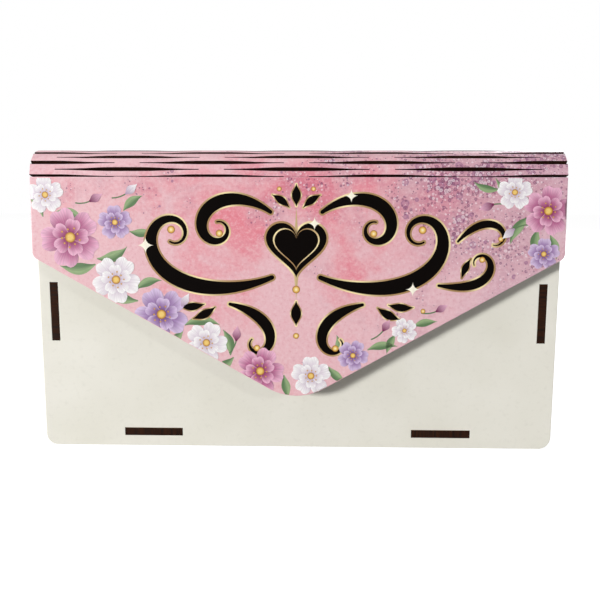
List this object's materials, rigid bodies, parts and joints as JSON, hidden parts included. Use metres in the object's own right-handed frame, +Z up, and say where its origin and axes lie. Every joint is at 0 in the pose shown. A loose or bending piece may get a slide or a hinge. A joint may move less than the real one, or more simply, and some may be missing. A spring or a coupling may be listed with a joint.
{
  "type": "wooden money envelope",
  "caption": "Slim laser-cut hardboard box for banknotes, with tabbed walls and a pointed printed flap that folds over the front on a living hinge.",
  "frame": {"origin": "centre of the bounding box at its bottom, on the surface that the envelope stands on", "axes": "+X to the right as seen from the front, -Y out of the front panel, +Z up towards the living hinge"},
  "size_m": [0.176, 0.0222, 0.1019],
  "materials": {
    "white_board": "white lacquered hardboard, satin",
    "printed_board": "hardboard with a pink print under satin lacquer",
    "raw_board": "raw brown hardboard with laser-browned edges"
  },
  "bodies": {
    "box": {"back_panel": "white_board", "front_panel": "white_board", "side_wall_left": "raw_board", "side_wall_right": "raw_board", "bottom_wall": "raw_board"},
    "strip_01": {"hinge_strip_01": "printed_board"},
    "strip_02": {"hinge_strip_02": "printed_board"},
    "strip_03": {"hinge_strip_03": "printed_board"},
    "strip_04": {"hinge_strip_04": "printed_board"},
    "strip_05": {"hinge_strip_05": "printed_board"},
    "strip_06": {"hinge_strip_06": "printed_board"},
    "strip_07": {"hinge_strip_07": "printed_board"},
    "strip_08": {"hinge_strip_08": "printed_board"},
    "strip_09": {"hinge_strip_09": "printed_board"},
    "strip_10": {"hinge_strip_10": "printed_board"},
    "strip_11": {"hinge_strip_11": "printed_board"},
    "strip_12": {"hinge_strip_12": "printed_board"},
    "flap": {"flap": "printed_board"}
  },
  "joints": [
    {"name": "hinge_row_01", "type": "hinge", "parent": "box", "child": "strip_01", "pos_m": [0, 0.00974, 0.0926], "axis": [-1, 0, 0], "range_deg": [-0.1, 7.38], "stiffness_Nm_per_rad": 0.2},
    {"name": "hinge_row_02", "type": "hinge", "parent": "strip_01", "child": "strip_02", "pos_m": [0, 0.00948, 0.09462], "axis": [-1, 0, 0], "range_deg": [-0.2, 14.76], "stiffness_Nm_per_rad": 0.2},
    {"name": "hinge_row_03", "type": "hinge", "parent": "strip_02", "child": "strip_03", "pos_m": [0, 0.00871, 0.09651], "axis": [-1, 0, 0], "range_deg": [-0.2, 14.76], "stiffness_Nm_per_rad": 0.2},
    {"name": "hinge_row_04", "type": "hinge", "parent": "strip_03", "child": "strip_04", "pos_m": [0, 0.00748, 0.09814], "axis": [-1, 0, 0], "range_deg": [-0.2, 14.76], "stiffness_Nm_per_rad": 0.2},
    {"name": "hinge_row_05", "type": "hinge", "parent": "strip_04", "child": "strip_05", "pos_m": [0, 0.00588, 0.09941], "axis": [-1, 0, 0], "range_deg": [-0.2, 14.76], "stiffness_Nm_per_rad": 0.2},
    {"name": "hinge_row_06", "type": "hinge", "parent": "strip_05", "child": "strip_06", "pos_m": [0, 0.00401, 0.10022], "axis": [-1, 0, 0], "range_deg": [-0.2, 14.76], "stiffness_Nm_per_rad": 0.2},
    {"name": "hinge_row_07", "type": "hinge", "parent": "strip_06", "child": "strip_07", "pos_m": [0, 0.002, 0.10054], "axis": [-1, 0, 0], "range_deg": [-0.2, 14.76], "stiffness_Nm_per_rad": 0.2},
    {"name": "hinge_row_08", "type": "hinge", "parent": "strip_07", "child": "strip_08", "pos_m": [0, -0.00003, 0.10032], "axis": [-1, 0, 0], "range_deg": [-0.2, 14.76], "stiffness_Nm_per_rad": 0.2},
    {"name": "hinge_row_09", "type": "hinge", "parent": "strip_08", "child": "strip_09", "pos_m": [0, -0.00194, 0.0996], "axis": [-1, 0, 0], "range_deg": [-0.2, 14.76], "stiffness_Nm_per_rad": 0.2},
    {"name": "hinge_row_10", "type": "hinge", "parent": "strip_09", "child": "strip_10", "pos_m": [0, -0.0036, 0.09842], "axis": [-1, 0, 0], "range_deg": [-0.2, 14.76], "stiffness_Nm_per_rad": 0.2},
    {"name": "hinge_row_11", "type": "hinge", "parent": "strip_10", "child": "strip_11", "pos_m": [0, -0.00491, 0.09685], "axis": [-1, 0, 0], "range_deg": [-0.2, 14.76], "stiffness_Nm_per_rad": 0.2},
    {"name": "hinge_row_12", "type": "hinge", "parent": "strip_11", "child": "strip_12", "pos_m": [0, -0.00577, 0.095], "axis": [-1, 0, 0], "range_deg": [-0.2, 14.76], "stiffness_Nm_per_rad": 0.2},
    {"name": "hinge_row_13", "type": "hinge", "parent": "strip_12", "child": "flap", "pos_m": [0, -0.00613, 0.09299], "axis": [-1, 0, 0], "range_deg": [-0.1, 7.38], "stiffness_Nm_per_rad": 0.2}
  ]
}
